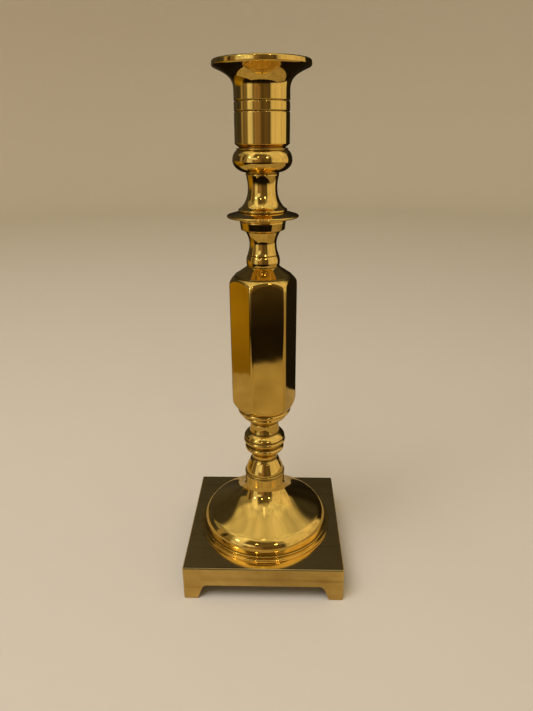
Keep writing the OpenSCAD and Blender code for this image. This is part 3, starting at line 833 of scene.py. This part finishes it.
# %% The thread cutter
def thread_tree():
    tree, given = shape_tree("thread", "Piece", ["Low", "High", "Pitch", "Depth", "Run Out"])
    place = add(tree, "SeparateXYZ", {0: add(tree, "GeometryNodeInputPosition")})
    heading = add(tree, "Math", {0: place.outputs["Y"], 1: place.outputs["X"]}, operation="ARCTAN2")
    turns = add(tree, "Math", {0: heading, 1: math.tau}, operation="DIVIDE")
    climbed = add(tree, "Math", {0: place.outputs["Z"], 1: given["Pitch"]}, operation="DIVIDE")
    phase = add(tree, "Math", {0: climbed, 1: turns}, operation="SUBTRACT")
    tooth = add(tree, "Math", {0: phase, 1: 0.5}, operation="PINGPONG")
    cut = add(tree, "Math", {0: tooth, 1: 2}, operation="MULTIPLY")
    above = add(tree, "Math", {0: place.outputs["Z"], 1: given["Low"]}, operation="SUBTRACT")
    below = add(tree, "Math", {0: given["High"], 1: place.outputs["Z"]}, operation="SUBTRACT")
    inside = add(tree, "Math", {0: above, 1: below}, operation="MINIMUM")
    fade = add(tree, "Math", {0: inside, 1: given["Run Out"]}, operation="DIVIDE", use_clamp=True)
    depth = add(tree, "Math", {0: fade, 1: given["Depth"]}, operation="MULTIPLY")
    taken = add(tree, "Math", {0: cut, 1: depth}, operation="MULTIPLY")
    level = add(tree, "CombineXYZ", {0: place.outputs["X"], 1: place.outputs["Y"]})
    inward = add(tree, "VectorMath", {0: level}, operation="NORMALIZE")
    back = add(tree, "Math", {0: taken, 1: -1}, operation="MULTIPLY")
    shift = add(tree, "VectorMath", {0: inward, "Scale": back}, operation="SCALE")
    moved = add(tree, "GeometryNodeSetPosition", {"Geometry": given["Piece"], "Offset": shift})
    return end_shape(tree, given, moved)


ZINC_STEEL = zinc_plated_steel()
THREAD = thread_tree()
print("thread nodes:", len(THREAD.nodes))

# %% Turn the rod and cut its two threads
THREAD_PITCH = 1.0
THREAD_DEPTH = 0.5
THREAD_LENGTHS = (14, 12)
THREAD_ROW = 0.125
ROD_STEPS = 48


def tie_rod():
    node = "tie_rod"
    low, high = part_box(node)
    foot, length, radius = low.z / MM, (high.z - low.z) / MM, high.x / MM
    ends = [(0.4, THREAD_LENGTHS[0]), (length - THREAD_LENGTHS[1], length - 0.4)]
    side = [Vector((radius, 0.4))]
    for (start, stop), row in ((ends[0], THREAD_ROW), ((ends[0][1], ends[1][0]), 4), (ends[1], THREAD_ROW)):
        rows = math.ceil((stop - start) / row)
        side += [Vector((radius, start + (stop - start) * (i + 1) / rows)) for i in range(rows)]
    tip = radius - 0.5
    outline = [Vector((0, 0)), Vector((tip, 0))] + side + [Vector((tip, length)), Vector((0, length))]
    piece = chain("rod", outline, foot, (), 1)
    run_nodes(piece, LATHE, Steps=ROD_STEPS, Finish=ZINC_STEEL)
    for start, stop in ends:
        run_nodes(piece, THREAD, Low=(foot + start) * MM, High=(foot + stop) * MM, Pitch=THREAD_PITCH * MM,
                  Depth=THREAD_DEPTH * MM, Finish=ZINC_STEEL, **{"Run Out": THREAD_PITCH * MM})
    return stand_for(settle(piece), node)


tie_rod()

# %% Turn the nut and the washer, and bend the spring washer
NUT_CORNER = 0.25
NUT_CHAMFER = 0.55
SPLIT = 14
SPRING_STEPS = 72


def hex_nut():
    node = "hex_nut"
    low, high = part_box(node)
    foot, height, flat = low.z / MM, (high.z - low.z) / MM, min(high.x, high.y) / MM
    corner, bore = flat / math.cos(math.radians(30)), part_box("tie_rod")[1].x / MM
    outline = [(bore + 0.3, 0), (flat - 0.1, 0), (corner, NUT_CHAMFER), (corner, height - NUT_CHAMFER),
               (flat - 0.1, height), (bore + 0.3, height), (bore, height - 0.3), (bore, 0.3)]
    shown = filled(soften([Vector(p) for p in outline] + [Vector(outline[0])], 0.12), 0.6)
    facing = 0 if high.x > high.y else 30
    return turn_piece("nut", node, shown, ZINC_STEEL, foot,
                      flats=dict(Flat=flat * MM, Corner=NUT_CORNER * MM, Turn=math.radians(facing),
                                 Ease=0.08 * MM))


def base_washer():
    node = "base_washer"
    low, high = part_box(node)
    foot, height, outer = low.z / MM, (high.z - low.z) / MM, high.x / MM
    outline = [(ROD_HOLE_RADIUS, 0.15), (ROD_HOLE_RADIUS + 0.15, 0), (outer, 0), (outer, height),
               (ROD_HOLE_RADIUS, height), (ROD_HOLE_RADIUS, 0.15)]
    return turn_piece("washer", node, filled(soften(outline, 0.3)), ZINC_STEEL, foot,
                      steps=120)


def spring_washer():
    """A square wire bent into a ring, with a slanted gap where its ends meet."""
    node = "spring_washer"
    low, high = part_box(node)
    outer, ease = high.x, 0.15 * MM
    inner = ROD_HOLE_RADIUS * MM
    section = [(inner, low.z + ease), (inner + ease, low.z), (outer - ease, low.z), (outer, low.z + ease),
               (outer, high.z - ease), (outer - ease, high.z), (inner + ease, high.z), (inner, high.z - ease)]
    shape = bmesh.new()
    rings = []
    for i in range(SPRING_STEPS + 1):
        ring = []
        for radius, z in section:
            slant = SPLIT * ((z - low.z) / (high.z - low.z) - 0.5)
            turned = math.radians(SPLIT + slant + (360 - 2 * SPLIT) * i / SPRING_STEPS)
            ring.append(shape.verts.new((radius * math.cos(turned), radius * math.sin(turned), z)))
        rings.append(ring)
    for one, two in zip(rings, rings[1:]):
        for j in range(len(section)):
            k = (j + 1) % len(section)
            shape.faces.new((one[j], one[k], two[k], two[j]))
    shape.faces.new(rings[0])
    shape.faces.new(rings[-1])
    bmesh.ops.recalc_face_normals(shape, faces=shape.faces)
    mesh = bpy.data.meshes.new("spring")
    shape.to_mesh(mesh)
    shape.free()
    mesh.materials.append(ZINC_STEEL)
    piece = bpy.data.objects.new("spring", mesh)
    scene.collection.objects.link(piece)
    return stand_for(piece, node)


hex_nut()
base_washer()
spring_washer()

# %% [markdown]
# ## The floor and the room
# The candlestick stands on a plain pale floor. Polished brass shows its surroundings more than itself, so the
# room matters as much as the lamps. The pale table top under the piece gives the gold below, the dark wall
# behind it gives the deep brown edges, and pale walls and a ceiling give the broad bright bands. The far
# floor and the backdrop are there for the eye only, and the brass doesn't mirror them. The mirrored table top
# is darker than the far floor, and this darkness is painted shade on the floor round the piece. It also
# has cloudy veins, because a perfectly even one would make the column's flats look painted.

# %% Floor and backdrop
FLOOR_COLOUR = "#EAE2D4"
# Darker than the floor: painted shade on the table top that the brass mirrors.
MIRRORED_SHADED_COLOUR = "#C8B68F"
MIRRORED_SHADED_VEIN = "#9E8B63"
VEIN = 70 * MM
TABLE_LEFT, TABLE_RIGHT = -0.28, 0.7
TABLE_FRONT, TABLE_BACK = -0.315, 0.175
TABLE_LIFT = 0.1 * MM
ROOM_RADIUS = 2.6
ROOM_HEIGHT = 2.4
COVE_RADIUS = 0.9


def floor_material(name, colour, vein):
    """A matt stone with cloudy veins. A plain floor has veins of its own colour."""
    material, tree, place = blank_material(name)
    cloud = add(tree, "TexNoise",
                {"Vector": place, "Scale": 1 / VEIN, "Detail": 4, "Roughness": 0.6, "Distortion": 1.2})
    share = add(tree, "MapRange", {"Value": cloud, "From Min": 0.4, "From Max": 0.68})
    stone = add(tree, "Mix", {"Factor": share, 6: linear(colour), 7: linear(vein)}, data_type="RGBA")
    end_material(tree, stone.outputs[2], Roughness=0.6)
    return material


def far_floor():
    """A round floor that curves up into a wall, seen by the camera and not in the brass."""
    turns = [math.radians(a) for a in range(0, 91, 6)]
    outline = [(0, -TABLE_LIFT)]
    outline += [(ROOM_RADIUS - COVE_RADIUS + COVE_RADIUS * math.sin(t),
                 COVE_RADIUS - COVE_RADIUS * math.cos(t) - TABLE_LIFT) for t in turns]
    outline += [(ROOM_RADIUS, ROOM_HEIGHT)]
    mesh = bpy.data.meshes.new("far_floor")
    mesh.from_pydata([(x, 0, z) for x, z in outline], [(i, i + 1) for i in range(len(outline) - 1)], [])
    piece = bpy.data.objects.new("far_floor", mesh)
    scene.collection.objects.link(piece)
    run_nodes(piece, LATHE, Steps=96, Finish=FLOOR)
    settle(piece, recount=False)
    piece.visible_glossy = False


def table_top():
    """The part of the floor that the brass mirrors, darker than the floor itself with painted shade."""
    mesh = bpy.data.meshes.new("table_top")
    corners = [(TABLE_LEFT, TABLE_FRONT), (TABLE_RIGHT, TABLE_FRONT), (TABLE_RIGHT, TABLE_BACK),
               (TABLE_LEFT, TABLE_BACK)]
    mesh.from_pydata([(x, y, 0) for x, y in corners], [], [(0, 1, 2, 3)])
    mesh.materials.append(MIRRORED_SHADED_FLOOR)
    piece = bpy.data.objects.new("table_top", mesh)
    scene.collection.objects.link(piece)
    piece.visible_camera = False
    piece.visible_diffuse = False
    piece.visible_shadow = False


FLOOR = floor_material("pale_floor", FLOOR_COLOUR, FLOOR_COLOUR)
MIRRORED_SHADED_FLOOR = floor_material("mirrored_floor_painted_shade", MIRRORED_SHADED_COLOUR, MIRRORED_SHADED_VEIN)
far_floor()
table_top()

# %% [markdown]
# ## The light
# The room is painted on the sky: each patch has a direction, counted from the camera's side, a height above
# the horizon, a colour and a strength near 1, so that the brass mirrors it without burning out. A slow noise
# breaks the patches up, because no real wall is even. Small lamps give the sparks, and one large soft box,
# which the brass doesn't mirror, gives the floor its light and its soft shadow.

# %% Walls and ceiling
WALL = "#403B33"
PATCHES = (
    # side, half width, lowest, highest, edge, strength, colour
    (0, 400, -100, -12, 5, 0.010, "#FFD8A8"),
    (150, 42, -20, 24, 10, 0.014, "#FFE4B8"),
    (-104, 24, -58, -6, 7, 0.24, "#E8B428"),
    (-104, 24, -22, -6, 6, 0.38, "#E8B428"),
    (0, 400, 66, 100, 8, 0.50, "#FFEDC2"),
    (5, 120, 22, 100, 4, 0.26, "#FFEABC"),
    (5, 118, 45, 100, 5, 0.68, "#FFEDC2"),
    (-50, 12, 30, 62, 6, 0.98, "#FFF0CC"),
    (77, 40, -16, 48, 4, 0.66, "#FFE6B8"),
    (-64, 12, -14, 30, 5, 0.24, "#EECB92"),
    (-47, 11, -14, 48, 6, 0.76, "#FFF0CE"),
    (-17, 14, -14, 20, 6, 0.34, "#EEC088"),
    (14, 17, -14, 22, 6, 0.11, "#FFD290"),
    (-76, 4, 6, 34, 2, 0.04, "#FFD290"),
    (-6, 30, 21, 55, 6, 0.13, "#FFDCA0"),
    (4, 14, 50, 64, 5, 0.36, "#FFF0B4"),
    (-5, 6, 62, 80, 4, 1.25, "#FFF0CC"),
    (-86, 5, -14, 30, 3, 0.36, "#EECB92"),
    (-27, 11, 9, 21, 3, 1.0, "#FFF2D4"),
)
UNEVEN = 2.6


def painted_room():
    """Paints the patches on the sky, one over the other, in the order of the list."""
    world = bpy.data.worlds.new("painted_room")
    scene.world = world
    world.use_nodes = True
    tree = world.node_tree
    tree.nodes.clear()
    direction = add(tree, "TexCoord").outputs["Generated"]
    way = add(tree, "SeparateXYZ", {0: direction})
    front = add(tree, "Math", {0: way.outputs["Y"], 1: -1}, operation="MULTIPLY")
    side = add(tree, "Math", {0: way.outputs["X"], 1: front}, operation="ARCTAN2")
    height = add(tree, "Math", {0: way.outputs["Z"]}, operation="ARCSINE")
    colour = linear(WALL)
    for middle, wide, low, high, edge, strength, hue in PATCHES:
        off = add(tree, "Math", {0: side, 1: math.radians(middle)}, operation="SUBTRACT")
        near = add(tree, "Math", {0: off, 1: math.pi, 2: -math.pi}, operation="WRAP")
        above = add(tree, "Math", {0: height, 1: math.radians((low + high) / 2)},
                    operation="SUBTRACT")
        masks = []
        for distance, half in ((near, wide), (above, (high - low) / 2)):
            away = add(tree, "Math", {0: distance}, operation="ABSOLUTE")
            masks.append(add(tree, "MapRange",
                             {"Value": away, "From Min": math.radians(half - edge),
                              "From Max": math.radians(half + edge), "To Min": 1, "To Max": 0},
                             interpolation_type="SMOOTHSTEP"))
        mask = add(tree, "Math", {0: masks[0], 1: masks[1]}, operation="MULTIPLY")
        shade = [c * strength for c in linear(hue)[:3]] + [1]
        colour = add(tree, "Mix", {"Factor": mask, 6: colour, 7: shade},
                     data_type="RGBA").outputs[2]
    upright = add(tree, "Mapping", {"Vector": direction, "Scale": (1, 1, 0.4)})
    uneven = add(tree, "TexNoise", {"Vector": upright, "Scale": UNEVEN, "Detail": 5, "Roughness": 0.65})
    strength = add(tree, "MapRange",
                   {"Value": uneven, "From Min": 0.3, "From Max": 0.7, "To Min": 0.6, "To Max": 1.4})
    light = add(tree, "Background", {"Color": colour, "Strength": strength})
    add(tree, "OutputWorld", {"Surface": light})


painted_room()
print("patches of the room:", len(PATCHES))

# %% Lamps
MIDDLE = Vector((0, 0, 0.14))


def lamp(name, side, height, distance, size, watts, colour, mirrored=True):
    """A square soft box, by its direction from the candlestick and its size in metres."""
    data = bpy.data.lights.new(name, "AREA")
    data.size = size
    data.energy = watts
    data.color = linear(colour)[:3]
    box = bpy.data.objects.new(name, data)
    around, up = math.radians(side), math.radians(height)
    way = Vector((math.sin(around) * math.cos(up), -math.cos(around) * math.cos(up), math.sin(up)))
    box.location = MIDDLE + way * distance
    box.rotation_euler = (-way).to_track_quat("-Z", "Y").to_euler()
    box.visible_camera = False
    box.visible_glossy = mirrored
    scene.collection.objects.link(box)


lamp("soft_key", -40, 62, 1.5, 0.9, 11.5, "#F8F8FF", mirrored=False)
lamp("ceiling_left", -50, 25, 1.8, 0.17, 0.9, "#FFF0CC")
lamp("ceiling_middle", -14, 30, 1.9, 0.1, 0.45, "#FFE2A8")
lamp("ceiling_right", 21, 26, 1.9, 0.14, 0.9, "#FFE2A8")

# %% Finish
scene.view_settings.view_transform = "Standard"
